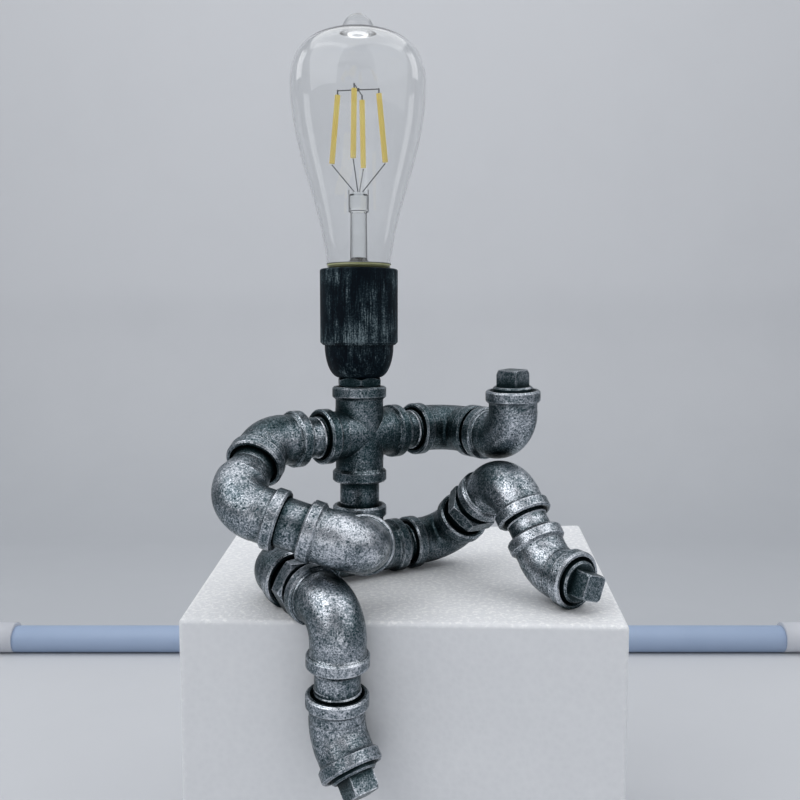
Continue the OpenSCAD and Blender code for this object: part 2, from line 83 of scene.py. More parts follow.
def wire(tree, source, out, target, into):
    tree.links.new(source.outputs[out], target.inputs[into])


def noise(tree, scale, detail, roughness):
    return node(tree, "ShaderNodeTexNoise",
                {"Scale": scale, "Detail": detail, "Roughness": roughness})


def maths(tree, operation, a=None, b=None, clamp=False):
    made = node(tree, "ShaderNodeMath", operation=operation, use_clamp=clamp)
    for i, value in enumerate((a, b)):
        if value is None:
            continue
        if isinstance(value, (int, float)):
            made.inputs[i].default_value = value
        else:
            tree.links.new(value, made.inputs[i])
    return made.outputs[0]


def remap(tree, value, source, target=(0.0, 1.0)):
    made = node(tree, "ShaderNodeMapRange", {
        "From Min": source[0], "From Max": source[1],
        "To Min": target[0], "To Max": target[1],
    })
    tree.links.new(value, made.inputs["Value"])
    return made.outputs["Result"]


def weighted(tree, start, parts):
    # Each part is a value, the middle it swings about, and how strongly it counts.
    total = start
    for source, centre, gain in parts:
        part = maths(tree, "MULTIPLY", maths(tree, "SUBTRACT", source, centre), gain)
        total = maths(tree, "ADD", total, part)
    return maths(tree, "ADD", total, 0.0, clamp=True)


def ramp(tree, value, stops):
    made = node(tree, "ShaderNodeValToRGB")
    elements = made.color_ramp.elements
    while len(elements) < len(stops):
        elements.new(0.5)
    for element, (place, colour) in zip(elements, stops):
        element.position = place
        element.color = (*colour, 1.0)
    tree.links.new(value, made.inputs["Fac"])
    return made


def bumps(tree, value, distance, strength=1.0):
    made = node(tree, "ShaderNodeBump", {"Distance": distance, "Strength": strength})
    tree.links.new(value, made.inputs["Height"])
    return made


print("node helpers ready")

# %% [markdown]
# ## Helpers for groups and materials
# A node group holds an effect that several materials share.
# A new material starts with one Principled shader. `roughen` lets a value drive its roughness
# between two limits, and `paint` lets a value drive its colour through a ramp.

# %% Group and material helpers
def group(name, inputs, outputs):
    tree = bpy.data.node_groups.new(name, "ShaderNodeTree")
    for label, kind, value in inputs:
        socket = tree.interface.new_socket(label, in_out="INPUT", socket_type=kind)
        socket.default_value = value
    for label, kind in outputs:
        tree.interface.new_socket(label, in_out="OUTPUT", socket_type=kind)
    return tree, tree.nodes.new("NodeGroupInput"), tree.nodes.new("NodeGroupOutput")


def use_group(tree, shared, values=None):
    made = node(tree, "ShaderNodeGroup", node_tree=shared)
    for key, value in (values or {}).items():
        made.inputs[key].default_value = value
    return made


def material(name):
    made = bpy.data.materials.new(name)
    made.use_nodes = True
    tree = made.node_tree
    return made, tree, tree.nodes["Principled BSDF"]


def roughen(tree, shader, value, limits):
    made = node(tree, "ShaderNodeMapRange", {"To Min": limits[0], "To Max": limits[1]})
    tree.links.new(value, made.inputs["Value"])
    wire(tree, made, "Result", shader, "Roughness")


def paint(tree, shader, value, stops):
    wire(tree, ramp(tree, value, stops), "Color", shader, "Base Color")


print("group and material helpers ready")

# %% [markdown]
# ## Where an edge is worn
# The Bevel node gives the normal that a rounded edge would have.
# Where it differs from the real normal there is an edge, so the difference is a wear mask.
# Ambient Occlusion finds the hollows. Its mask paints shade into them, and there the black paint
# also stays.

# %% Group: edges and hollows
EDGE_GAIN = 7.0
OPEN_POWER = 1.6
edges, edge_in, edge_out = group(
    "Edges and hollows",
    [("Edge radius", "NodeSocketFloat", 1.2 * MM), ("Hollow reach", "NodeSocketFloat", 5 * MM)],
    [("Edge", "NodeSocketFloat"), ("Hollow", "NodeSocketFloat")],
)
bevel = node(edges, "ShaderNodeBevel", samples=4)
geometry = node(edges, "ShaderNodeNewGeometry")
same = node(edges, "ShaderNodeVectorMath", operation="DOT_PRODUCT")
wire(edges, edge_in, "Edge radius", bevel, "Radius")
wire(edges, bevel, "Normal", same, 0)
wire(edges, geometry, "Normal", same, 1)
sharp = maths(edges, "SUBTRACT", 1.0, same.outputs["Value"])
sharp = maths(edges, "MULTIPLY", sharp, EDGE_GAIN, clamp=True)
# Occlusion of the hollows: a mask for painted shade, and for the black paint left there.
hollow_shade = node(edges, "ShaderNodeAmbientOcclusion", samples=6)
wire(edges, edge_in, "Hollow reach", hollow_shade, "Distance")
open_part = maths(edges, "POWER", hollow_shade.outputs["AO"], OPEN_POWER)
hollow_shade_part = maths(edges, "SUBTRACT", 1.0, open_part, clamp=True)
raised = maths(edges, "MULTIPLY", sharp, open_part)
edges.links.new(raised, edge_out.inputs["Edge"])
edges.links.new(hollow_shade_part, edge_out.inputs["Hollow"])
print("group:", edges.name)

# %% [markdown]
# ## Grain of a sand casting
# Four textures: broad clouds, blotches of a few millimetres, fine grains, and pits.
# A texture's scale says how many times it repeats in a metre.

# %% Group: casting grain
GRAIN_NOISES = {
    "Clouds": (60.0, 2.0, 0.5),
    "Blotches": (420.0, 4.0, 0.65),
    "Grains": (1300.0, 3.0, 0.7),
}
PIT_SCALE = 480.0
PIT_RIM = (0.05, 0.30)
grain, grain_in, grain_out = group(
    "Casting grain",
    [("Size", "NodeSocketFloat", 1.0)],
    [("Clouds", "NodeSocketFloat"), ("Blotches", "NodeSocketFloat"),
     ("Grains", "NodeSocketFloat"), ("Pits", "NodeSocketFloat")],
)
place = node(grain, "ShaderNodeTexCoord")
scaled = node(grain, "ShaderNodeVectorMath", operation="SCALE")
wire(grain, place, "Object", scaled, 0)
wire(grain, grain_in, "Size", scaled, "Scale")
for label, (scale, detail, roughness) in GRAIN_NOISES.items():
    texture = noise(grain, scale, detail, roughness)
    wire(grain, scaled, "Vector", texture, "Vector")
    wire(grain, texture, "Fac", grain_out, label)
pits = node(grain, "ShaderNodeTexVoronoi", {"Scale": PIT_SCALE, "Randomness": 1.0})
wire(grain, scaled, "Vector", pits, "Vector")
grain.links.new(remap(grain, pits.outputs["Distance"], PIT_RIM), grain_out.inputs["Pits"])
print("group:", grain.name)

# %% [markdown]
# ## Black iron, dry-brushed with silver
# Black paint covers the casting, and silver is rubbed over it. Faces turned to the front, the
# figure's right and a little up carry more silver: painted light from that side.
# It stays on edges and raised grains and misses the pits. The hollows are painted darker: painted
# shade, and the black paint that the silver misses.
# Pieces further forward, and a little towards the figure's right, carry more silver.

# %% Group: rubbed silver
# Painted light: faces turned towards this direction carry more silver, and faces turned away carry
# less, down to a floor.
PAINTED_LIGHT_FROM = (-0.40, -0.85, 0.28)
PAINTED_LIGHT_LEAST = -0.15
PAINTED_LIGHT_GAIN = 0.28
# Silver grows with how far a point lies along this forward direction.
FORWARD_SIDE = (-0.20, -0.98, 0.0)
FORWARD_FROM = (0.0, 50 * MM)
FORWARD_GAIN = (-0.11, 0.15)
SILVER_TONES = [
    (0.0, (0.005, 0.017, 0.021)), (0.35, (0.036, 0.067, 0.078)),
    (0.65, (0.18, 0.216, 0.246)), (1.0, (0.66, 0.69, 0.745)),
]
SILVER_ROUGHNESS = (0.46, 0.22)
# Each texture's middle value, and how strongly it counts.
GRAIN_COVER = {
    "Clouds": (0.5, 0.9), "Blotches": (0.5, 0.75), "Grains": (0.5, 1.8), "Pits": (1.0, 0.45),
}
EDGE_COVER = 0.55
# Hollows lose silver: painted shade, and unbrushed black paint.
HOLLOW_SHADE_COVER = -1.2
GRAIN_HEIGHTS = {"Grains": 0.4, "Blotches": 0.5, "Pits": 0.5}
CAST_RELIEF = 0.6 * MM
rubbed, rub_in, rub_out = group(
    "Rubbed silver, painted light and shade",
    [("Amount", "NodeSocketFloat", 0.5), ("Size", "NodeSocketFloat", 1.0),
     ("Relief", "NodeSocketFloat", 0.35)],
    [("Silver", "NodeSocketFloat"), ("Colour", "NodeSocketColor"),
     ("Roughness", "NodeSocketFloat"), ("Normal", "NodeSocketVector")],
)
worn = use_group(rubbed, edges).outputs
grain_use = use_group(rubbed, grain)
wire(rubbed, rub_in, "Size", grain_use, "Size")
cast = grain_use.outputs
facing = node(rubbed, "ShaderNodeTexCoord")
# How far each face turns towards the painted light.
lit_facing = node(rubbed, "ShaderNodeVectorMath", {1: PAINTED_LIGHT_FROM}, operation="DOT_PRODUCT")
wire(rubbed, facing, "Normal", lit_facing, 0)
forward_reach = node(rubbed, "ShaderNodeVectorMath", {1: FORWARD_SIDE}, operation="DOT_PRODUCT")
wire(rubbed, facing, "Object", forward_reach, 0)
reach = remap(rubbed, forward_reach.outputs["Value"], FORWARD_FROM, FORWARD_GAIN)
turned = maths(rubbed, "MAXIMUM", lit_facing.outputs["Value"], PAINTED_LIGHT_LEAST)
cover = maths(rubbed, "MULTIPLY", turned, PAINTED_LIGHT_GAIN)
cover = maths(rubbed, "ADD", cover, rub_in.outputs["Amount"])
parts = [(cast[label], middle, gain) for label, (middle, gain) in GRAIN_COVER.items()]
parts.append((reach, 0.0, 1.0))
parts.append((worn["Edge"], 0.0, EDGE_COVER))
parts.append((worn["Hollow"], 0.0, HOLLOW_SHADE_COVER))
silver = weighted(rubbed, cover, parts)
height = 0.0
for label, share in GRAIN_HEIGHTS.items():
    height = maths(rubbed, "ADD", height, maths(rubbed, "MULTIPLY", cast[label], share))
bump = bumps(rubbed, height, CAST_RELIEF)
wire(rubbed, rub_in, "Relief", bump, "Strength")
rubbed.links.new(silver, rub_out.inputs["Silver"])
wire(rubbed, ramp(rubbed, silver, SILVER_TONES), "Color", rub_out, "Colour")
roughen(rubbed, rub_out, silver, SILVER_ROUGHNESS)
wire(rubbed, bump, "Normal", rub_out, "Normal")
print("group:", rubbed.name)

# %% [markdown]
# ## Iron materials
# Three kinds of iron use the shared group with their own amount of silver, grain and relief.
# Some pieces get their own amount of silver, set to how bright each one looks: partly uneven
# rubbing, partly painted light and shade of how the light falls on that piece.

# %% Materials: fittings, pipes and plugs
FITTING = {"size": 1.0, "relief": 0.4, "metallic": 0.9}
PIPE = {"size": 0.9, "relief": 0.2, "metallic": 0.9}
PLUG = {"size": 1.1, "relief": 0.4, "metallic": 0.8}
COMMON_RUB = 0.33
PLUG_RUB = 0.12
# Own silver amounts: uneven rubbing, together with painted light and shade for each piece.
OWN_RUB_AND_LIGHT = {
    "neck_bushing": 0.16, "body_cross": 0.22, "shoulder_elbow_left": 0.27,
    "shoulder_elbow_right": 0.33, "street_elbow_right": 0.36, "hand_elbow_right": 0.41,
    "knee_elbow_left": 0.36, "foot_elbow_left": 0.43, "shin_nipple_left": 0.38,
    "foot_elbow_right": 0.26, "knee_elbow_right": 0.31,
}


def rubbed_iron(name, amount, size, relief, metallic):
    made, tree, shader = material(name)
    shared = use_group(tree, rubbed, {"Amount": amount, "Size": size, "Relief": relief})
    wire(tree, shared, "Colour", shader, "Base Color")
    wire(tree, shared, "Roughness", shader, "Roughness")
    wire(tree, shared, "Normal", shader, "Normal")
    shader.inputs["Metallic"].default_value = metallic
    return made


own_looks = {}
for part_name, amount in OWN_RUB_AND_LIGHT.items():
    own_looks[part_name] = rubbed_iron(f"Rubbed {part_name}", amount, **FITTING)
looks = {
    "cast_iron_fitting": rubbed_iron("Cast fitting", COMMON_RUB, **FITTING),
    "iron_nipple": rubbed_iron("Pipe", COMMON_RUB, **PIPE),
    "iron_plug": rubbed_iron("Plug", PLUG_RUB, **PLUG),
}
print("iron materials:", len(looks) + len(own_looks))

# %% [markdown]
# ## The lamp holder
# Satin black with thin upright streaks of grey, thicker towards the lower rim of the sleeve.
# Noise that is stretched along Z draws the streaks. The cup under the sleeve stays darker.

# %% Material: streaked black holder
SKIRT_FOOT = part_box("holder_skirt")[0][2]
STREAK_STRETCH = (1.0, 1.0, 0.07)
STREAKS = {"fine": (1500.0, 2.0, 0.6), "broad": (330.0, 3.0, 0.6)}
SPECKS = {"speckle": (1300.0, 2.0, 0.5), "patch": (75.0, 2.0, 0.5)}
NOISE_MIDDLE = 0.5
NOISE_GREY = {"fine": 1.5, "broad": 1.5, "speckle": 1.3, "patch": 1.5}
EDGE_GREY = 0.3
# The holder's hollows are painted darker, as shade.
HOLLOW_SHADE_GREY = -0.4
RIM_BAND = (SKIRT_FOOT + 3 * MM, SKIRT_FOOT + 30 * MM)
RIM_GREY = (0.42, 0.20)
CUP_TOP = SKIRT_FOOT + 0.2 * MM
CUP_LOSS = 0.17
HOLDER_TONES = [
    (0.0, (0.001, 0.0035, 0.007)), (0.30, (0.003, 0.009, 0.014)),
    (0.60, (0.024, 0.039, 0.048)), (1.0, (0.15, 0.195, 0.215)),
]
HOLDER_ROUGHNESS = (0.50, 0.70)
HOLDER_SHINE = 0.06
HOLDER_RELIEF = (0.3 * MM, 0.2)

made, tree, shader = material("Streaked holder")
where = node(tree, "ShaderNodeTexCoord")
stretch = node(tree, "ShaderNodeMapping", {"Scale": STREAK_STRETCH})
wire(tree, where, "Object", stretch, "Vector")
greys = {}
for label, row in STREAKS.items():
    texture = noise(tree, *row)
    wire(tree, stretch, "Vector", texture, "Vector")
    greys[label] = texture.outputs["Fac"]
for label, row in SPECKS.items():
    texture = noise(tree, *row)
    wire(tree, where, "Object", texture, "Vector")
    greys[label] = texture.outputs["Fac"]
split = node(tree, "ShaderNodeSeparateXYZ")
wire(tree, where, "Object", split, "Vector")
rim = remap(tree, split.outputs["Z"], RIM_BAND, RIM_GREY)
on_cup = maths(tree, "LESS_THAN", split.outputs["Z"], CUP_TOP)
amount = maths(tree, "SUBTRACT", rim, maths(tree, "MULTIPLY", on_cup, CUP_LOSS))
worn = use_group(tree, edges).outputs
parts = [(greys[label], NOISE_MIDDLE, gain) for label, gain in NOISE_GREY.items()]
parts.append((worn["Edge"], 0.0, EDGE_GREY))
parts.append((worn["Hollow"], 0.0, HOLLOW_SHADE_GREY))
grey = weighted(tree, amount, parts)
paint(tree, shader, grey, HOLDER_TONES)
roughen(tree, shader, grey, HOLDER_ROUGHNESS)
wire(tree, bumps(tree, greys["fine"], *HOLDER_RELIEF), "Normal", shader, "Normal")
shader.inputs["Specular IOR Level"].default_value = HOLDER_SHINE
looks["holder_black"] = made
print("holder material ready")

# %% [markdown]
# ## Brass, steel, porcelain, rubber and wire
# Each gets a light procedural variation, because no real surface is one flat colour.

# %% Group: slight variation
MIDDLE_SCALE = 300.0
VARY_NOISE = {"Detail": 4.0, "Roughness": 0.6}
VARY_RELIEF = (0.3 * MM, 0.15)
vary, vary_in, vary_out = group(
    "Slight variation",
    [("Dark", "NodeSocketColor", (0.5, 0.5, 0.5, 1.0)),
     ("Light", "NodeSocketColor", (0.6, 0.6, 0.6, 1.0)),
     ("Scale", "NodeSocketFloat", MIDDLE_SCALE)],
    [("Colour", "NodeSocketColor"), ("Value", "NodeSocketFloat"),
     ("Normal", "NodeSocketVector")],
)
where = node(vary, "ShaderNodeTexCoord")
cloud = node(vary, "ShaderNodeTexNoise", VARY_NOISE)
wire(vary, where, "Object", cloud, "Vector")
wire(vary, vary_in, "Scale", cloud, "Scale")
# A Mix node that blends colours takes them on sockets 6 and 7 and gives its result on 2.
blend = node(vary, "ShaderNodeMix", data_type="RGBA")
wire(vary, cloud, "Fac", blend, 0)
wire(vary, vary_in, "Dark", blend, 6)
wire(vary, vary_in, "Light", blend, 7)
wire(vary, blend, 2, vary_out, "Colour")
wire(vary, cloud, "Fac", vary_out, "Value")
wire(vary, bumps(vary, cloud.outputs["Fac"], *VARY_RELIEF), "Normal", vary_out, "Normal")
print("group:", vary.name)

# %% [markdown]
# ## Plain materials
# One row for each: dark colour, light colour, roughness, metallic and the scale of the variation.

# %% Materials: the plain ones
ROUGHNESS_SWING = 0.08
# Strength of the filament's painted glow.
FILAMENT_PAINTED_GLOW = 0.17
PLAIN = {
    "brass_parts": ("Brass", (0.45, 0.30, 0.10), (0.62, 0.45, 0.18), 0.32, 1.0),
    "steel_parts": ("Plated steel", (0.16, 0.17, 0.18), (0.30, 0.31, 0.32), 0.35, 1.0),
    "porcelain": ("Porcelain", (0.74, 0.70, 0.62), (0.82, 0.79, 0.72), 0.25),
    "rubber_grommet": ("Rubber", (0.012, 0.012, 0.012), (0.03, 0.03, 0.03), 0.7),
    "wire_brown": ("Brown wire", (0.10, 0.035, 0.015), (0.15, 0.06, 0.03), 0.5),
    "wire_blue": ("Blue wire", (0.015, 0.05, 0.22), (0.03, 0.09, 0.32), 0.5),
    "cap_glass": ("Cap glass", (0.008, 0.008, 0.009), (0.02, 0.02, 0.022), 0.2),
    "led_filament": ("Filament", (0.99, 0.70, 0.16), (1.0, 0.88, 0.30), 0.45, 0.0, 45.0),
}


def simple(name, dark, light, roughness, metallic=0.0, scale=MIDDLE_SCALE):
    made, tree, shader = material(name)
    shared = use_group(tree, vary, {"Dark": (*dark, 1.0), "Light": (*light, 1.0), "Scale": scale})
    wire(tree, shared, "Colour", shader, "Base Color")
    wire(tree, shared, "Normal", shader, "Normal")
    limits = (roughness - ROUGHNESS_SWING, roughness + ROUGHNESS_SWING)
    roughen(tree, shader, shared.outputs["Value"], limits)
    shader.inputs["Metallic"].default_value = metallic
    return made


for slot_name, row in PLAIN.items():
    looks[slot_name] = simple(*row)
# The filament is painted with a faint glow of its own colour.
tree = looks["led_filament"].node_tree
shader = tree.nodes["Principled BSDF"]
wire(tree, tree.nodes["Group"], "Colour", shader, "Emission Color")
shader.inputs["Emission Strength"].default_value = FILAMENT_PAINTED_GLOW
print("materials so far:", len(looks))

# %% [markdown]
# ## Glass
# A thin clear shell. A height of one metre is never reached, so `NEVER_MILKY` keeps it clear.
# Metallic and Transmission Weight stay plain numbers, and only the roughness and the
# surface vary a little. The melted tip of the bulb is milky.

# %% Materials: bulb glass and stem glass
GLASS_IOR = 1.42
GLASS_RELIEF = 0.6 * MM
RIPPLE_SCALE = 45.0
TINT_SHADE = 0.97
NEVER_MILKY = 1.0
MILKY_FADE = 1.5 * MM
MILKY_ROUGHNESS = 0.16
TIP_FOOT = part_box("bulb_glass")[1][2] - 7.5 * MM


def clear_glass(name, tint, roughness, ripple, milky_above=NEVER_MILKY):
    made, tree, shader = material(name)
    shared = use_group(tree, vary, {
        "Dark": (*(c * TINT_SHADE for c in tint), 1.0), "Light": (*tint, 1.0),
        "Scale": RIPPLE_SCALE,
    })
    wire(tree, shared, "Colour", shader, "Base Color")
    rough = remap(tree, shared.outputs["Value"], (0.0, 1.0), (0.0, roughness))
    where = node(tree, "ShaderNodeTexCoord")
    split = node(tree, "ShaderNodeSeparateXYZ")
    wire(tree, where, "Object", split, "Vector")
    fade = (milky_above, milky_above + MILKY_FADE)
    milky = remap(tree, split.outputs["Z"], fade, (0.0, MILKY_ROUGHNESS))
    tree.links.new(maths(tree, "ADD", rough, milky), shader.inputs["Roughness"])
    bump = bumps(tree, shared.outputs["Value"], GLASS_RELIEF, ripple)
    wire(tree, bump, "Normal", shader, "Normal")
    shader.inputs["Metallic"].default_value = 0.0
    shader.inputs["Transmission Weight"].default_value = 1.0
    shader.inputs["IOR"].default_value = GLASS_IOR
    return made


looks["clear_glass"] = clear_glass("Clear glass", (0.985, 0.99, 0.99), 0.02, 0.05, TIP_FOOT)
looks["stem_glass"] = clear_glass("Stem glass", (0.96, 0.975, 0.97), 0.05, 0.12)
print("glass ready")

# %% [markdown]
# ## Dress the CAD nodes
# The record names a material slot for every node, and each slot has one look.
# The nodes in `OWN_RUB_AND_LIGHT` then swap the common iron for their own.

# %% Put the looks on the CAD nodes
slots = {part["node"]: part["material_slot"] for part in frame["record"]["subparts"]}
for name, obj in frame["nodes"].items():
    obj.data.materials.clear()
    obj.data.materials.append(looks[slots[name]])
for name, look in own_looks.items():
    frame["nodes"][name].data.materials[0] = look
print("slots dressed:", len(set(slots.values())))

# %% [markdown]
# ## Helpers for shapes
# `mesh_object` makes an object of points and faces, and `smooth` shades it as a round surface.
# `round_bar` stands a cylinder between two points, and `ring` lays a thin ring round the Z axis.

# %% Shape helpers
def mesh_object(name, points, faces, look):
    mesh = bpy.data.meshes.new(name)
    mesh.from_pydata([tuple(p) for p in points], [], faces)
    mesh.validate()
    obj = bpy.data.objects.new(name, mesh)
    bpy.context.scene.collection.objects.link(obj)
    mesh.materials.append(look)
    return obj


def smooth(made):
    for polygon in made.data.polygons:
        polygon.use_smooth = True


def ring(name, centre_z, radius, thickness, look):
    bpy.ops.mesh.primitive_torus_add(
        major_radius=radius, minor_radius=thickness, major_segments=64, minor_segments=10,
        location=(0.0, 0.0, centre_z),
    )
    made = bpy.context.object
    made.name = name
    made.data.materials.append(look)
    smooth(made)
    return made


def round_bar(name, start, end, radius, look, sides):
    bpy.ops.mesh.primitive_cylinder_add(vertices=sides, radius=radius, depth=(end - start).length)
    made = bpy.context.object
    made.name = name
    made.location = (start + end) / 2
    made.rotation_euler = (end - start).to_track_quat("Z", "Y").to_euler()
    made.data.materials.append(look)
    for polygon in made.data.polygons:
        polygon.use_smooth = len(polygon.vertices) == 4
    return made


print("shape helpers ready")

# %% [markdown]
# ## Screw threads that show next to the bands
# A pipe's axis is the direction in which its points spread most.
# A helix of small triangles round that axis makes the last turns of the thread.
# Each triangle is (distance along, in pitches; height, in crests), and it fades out at both ends.

# %% Thread helpers
THREAD_PITCH = 1.8 * MM
THREAD_CREST = 0.5 * MM
THREAD_SECTION = ((-0.42, -0.1), (0.0, 1.0), (0.42, -0.1))
THREAD_STEPS = 36
FADE_TURNS = 0.5
FADE_LEAST = 0.05


def pipe_line(name):
    points = np.array([tuple(v.co) for v in frame["nodes"][name].data.vertices])
    centre = (points.min(axis=0) + points.max(axis=0)) / 2
    spread = np.linalg.svd(points - centre, full_matrices=False)[2]
    axis = spread[0]
    reach = np.abs((points - centre) @ axis).max()
    return Vector(centre), Vector(axis).normalized(), reach


def thread(name, centre, axis, start, length, look):
    side = axis.orthogonal().normalized()
    other = axis.cross(side)
    count = max(2, int(length / THREAD_PITCH * THREAD_STEPS))
    points = []
    for i in range(count + 1):
        angle = 2 * math.pi * i / THREAD_STEPS
        along = start + THREAD_PITCH * i / THREAD_STEPS
        turns_left = min(i, count - i) / THREAD_STEPS
        fade = max(min(1.0, turns_left / FADE_TURNS), FADE_LEAST)
        out = side * math.cos(angle) + other * math.sin(angle)
        for shift, lift in THREAD_SECTION:
            height = PIPE_R + THREAD_CREST * lift * fade
            points.append(centre + axis * (along + shift * THREAD_PITCH) + out * height)
    faces = []
    for i in range(count):
        a = 3 * i
        b = a + 3
        for j in range(3):
            k = (j + 1) % 3
            faces.append((a + j, a + k, b + k, b + j))
    faces.append((0, 2, 1))
    faces.append((3 * count, 3 * count + 1, 3 * count + 2))
    return mesh_object(name, points, faces, look)


print("thread pitch:", round(THREAD_PITCH, 5))

# %% [markdown]
# ## Threads on the short pipes
# A fitting covers each end of its pipe, so the thread starts where the fitting stops.
# It rides on the body that holds its pipe, and moves with it.

# %% Threads on the short pipes
ENGAGE = 10.0 * MM
SHOWN_TURNS = {
    "hip_nipple_left": 3.0, "hip_nipple_right": 2.0, "wrist_nipple_left": 2.0,
    "shoulder_nipple_left": 1.6, "shoulder_nipple_right": 1.4,
    "shin_nipple_left": 1.2, "shin_nipple_right": 1.4, "torso_nipple": 0.8,
}
BODY_OF = {}
for body, names in frame["record"]["behaviour"]["bodies"].items():
    for name in names:
        BODY_OF[name] = body

threads = []
for name, turns in SHOWN_TURNS.items():
    centre, axis, reach = pipe_line(name)
    gap = 2 * (reach - ENGAGE)
    length = min(turns * THREAD_PITCH, gap / 2)
    for end, start in ((-1, -gap / 2), (1, gap / 2 - length)):
        label = f"{name}_thread_{end}"
        made = thread(label, centre, axis, start, length, looks["iron_nipple"])
        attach(made, BODY_OF[name])
        threads.append(made)
print("threads:", len(threads))

# %% [markdown]
# ## The bulb's glass
# The solid model's glass has facets that show as rings. Clear glass needs a smooth surface,
# so this finer shell stands for it: the same neck and width, a rounder crown and a taller tip.
# Heights count from the mouth. Each bow says how far a curve is pulled out or along.

# %% Bulb glass
GLASS = {
    "foot_r": 12.4 * MM, "foot_z": -4.6 * MM, "neck": 16.00 * MM,
    "wide": 34.30 * MM, "wide_z": 92.60 * MM, "crown_z": 118.20 * MM,
    "tip_r": 8.2 * MM, "tip_h": 9.0 * MM, "wall": 1.0 * MM,
}
NECK_BOW = (3 * MM, 34 * MM)
FLANK_BOW = 34 * MM
SHOULDER_BOW = 18 * MM
CROWN_BOW = (15.5 * MM, 2.6 * MM)
FLANK_STEPS = 44
CROWN_STEPS = 28
TIP_STEPS = 14
AXIS_R = 0.02 * MM


def curve(a, b, c, d, steps):
    points = []
    for i in range(1, steps + 1):
        t = i / steps
        weights = ((1 - t) ** 3, 3 * t * (1 - t) ** 2, 3 * t * t * (1 - t), t ** 3)
        across = sum(w * p[0] for w, p in zip(weights, (a, b, c, d)))
        up = sum(w * p[1] for w, p in zip(weights, (a, b, c, d)))
        points.append((across, up))
    return points


def glass_side(inset):
    neck = (GLASS["neck"] - inset, 0.0)
    wide = (GLASS["wide"] - inset, GLASS["wide_z"])
    crown = (GLASS["tip_r"], GLASS["crown_z"] - inset)
    from_neck = (neck[0] + NECK_BOW[0], NECK_BOW[1])
    to_wide = (wide[0], wide[1] - FLANK_BOW)
    from_wide = (wide[0], wide[1] + SHOULDER_BOW)
    to_crown = (crown[0] + CROWN_BOW[0], crown[1] - CROWN_BOW[1])
    side = [(GLASS["foot_r"] - inset, GLASS["foot_z"]), neck]
    side += curve(neck, from_neck, to_wide, wide, FLANK_STEPS)
    side += curve(wide, from_wide, to_crown, crown, CROWN_STEPS)
    return side


def revolve(name, profile, look, steps=96):
    points = []
    for radius, up in profile:
        for i in range(steps):
            angle = 2 * math.pi * i / steps
            points.append((radius * math.cos(angle), radius * math.sin(angle), MOUTH_Z + up))
    faces = []
    rows = len(profile)
    for row in range(rows):
        low = row * steps
        high = (row + 1) % rows * steps
        for i in range(steps):
            j = (i + 1) % steps
            faces.append((low + i, low + j, high + j, high + i))
    made = mesh_object(name, points, faces, look)
    smooth(made)
    return made


outside = glass_side(0.0)
for i in range(1, TIP_STEPS + 1):
    angle = math.pi / 2 * i / TIP_STEPS
    across = max(AXIS_R, GLASS["tip_r"] * math.cos(angle))
    outside.append((across, GLASS["crown_z"] + GLASS["tip_h"] * math.sin(angle)))
inside = glass_side(GLASS["wall"]) + [(AXIS_R, GLASS["crown_z"] - GLASS["wall"])]
glass = revolve("fine_bulb_glass", outside + inside[::-1], looks["clear_glass"])
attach(glass, "bulb")
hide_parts("bulb_glass")
print("bulb glass points:", len(glass.data.vertices))

# %% [markdown]
# ## Small parts inside the bulb
# Two lead wires run up inside the stem, a small cage stands round its head,
# and a pale ring closes the neck of the glass.

# %% Bulb details
STEM_HEAD_Z = MOUTH_Z + 38.8 * MM
WIRE_R = 0.25 * MM
WIRE_SIDES = 10
LEAD_FOOT = (4.1 * MM, MOUTH_Z + 3 * MM)
LEAD_HEAD = (3.9 * MM, STEM_HEAD_Z - 9 * MM)
CAGE_R = 4.9 * MM
CAGE_FOOT = STEM_HEAD_Z - 9.5 * MM
CAGE_HEAD = STEM_HEAD_Z + 1.5 * MM
RIM = {"up": MOUTH_Z + 2.7 * MM, "radius": 16.4 * MM, "thickness": 0.22 * MM}
DISH_MM = [(15.0, 0.1), (15.9, 2.5), (16.4, 2.5), (15.6, 0.1)]


def across_view(offset, up):
    return Vector((math.cos(CAMERA_HEADING) * offset, -math.sin(CAMERA_HEADING) * offset, up))


def upright(name, side, foot, head):
    low = across_view(side * foot[0], foot[1])
    high = across_view(side * head[0], head[1])
    return round_bar(name, low, high, WIRE_R, steel, WIRE_SIDES)


cement = simple("Neck ring", (0.34, 0.36, 0.17), (0.46, 0.48, 0.26), 0.35, scale=120.0)
steel = looks["steel_parts"]
bulb_parts = []
for side in (-1, 1):
    lead = upright(f"lead_wire_{side}", side, LEAD_FOOT, LEAD_HEAD)
    cage = upright(f"cage_wire_{side}", side, (CAGE_R, CAGE_FOOT), (CAGE_R, CAGE_HEAD))
    bulb_parts += [(lead, "steel_parts"), (cage, "steel_parts")]
cage_ring = ring("cage_ring", CAGE_FOOT, CAGE_R, WIRE_R, steel)
neck_rim = ring("neck_rim", RIM["up"], RIM["radius"], RIM["thickness"], steel)
dish = [(radius * MM, up * MM) for radius, up in DISH_MM]
neck_ring = revolve("neck_ring", dish, cement)
bulb_parts += [(cage_ring, "steel_parts"), (neck_rim, "steel_parts"), (neck_ring, "led_filament")]
for made, slot_name in bulb_parts:
    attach(made, "bulb")
print("bulb details:", len(bulb_parts))

# %% [markdown]
# ## The stage
# The foam block, the tube and the light tent belong to the stage, not to the lamp.
# They are placed as the camera sees them: across, straight ahead, and up.

# %% Stage helper
RIGHT = Vector((math.cos(CAMERA_HEADING), -math.sin(CAMERA_HEADING), 0.0))
AHEAD = Vector((math.sin(CAMERA_HEADING), math.cos(CAMERA_HEADING), 0.0))


def on_stage(across, ahead, up):
    return RIGHT * across + AHEAD * ahead + Vector((0.0, 0.0, up))


print("stage axes:", tuple(round(v, 3) for v in RIGHT), tuple(round(v, 3) for v in AHEAD))
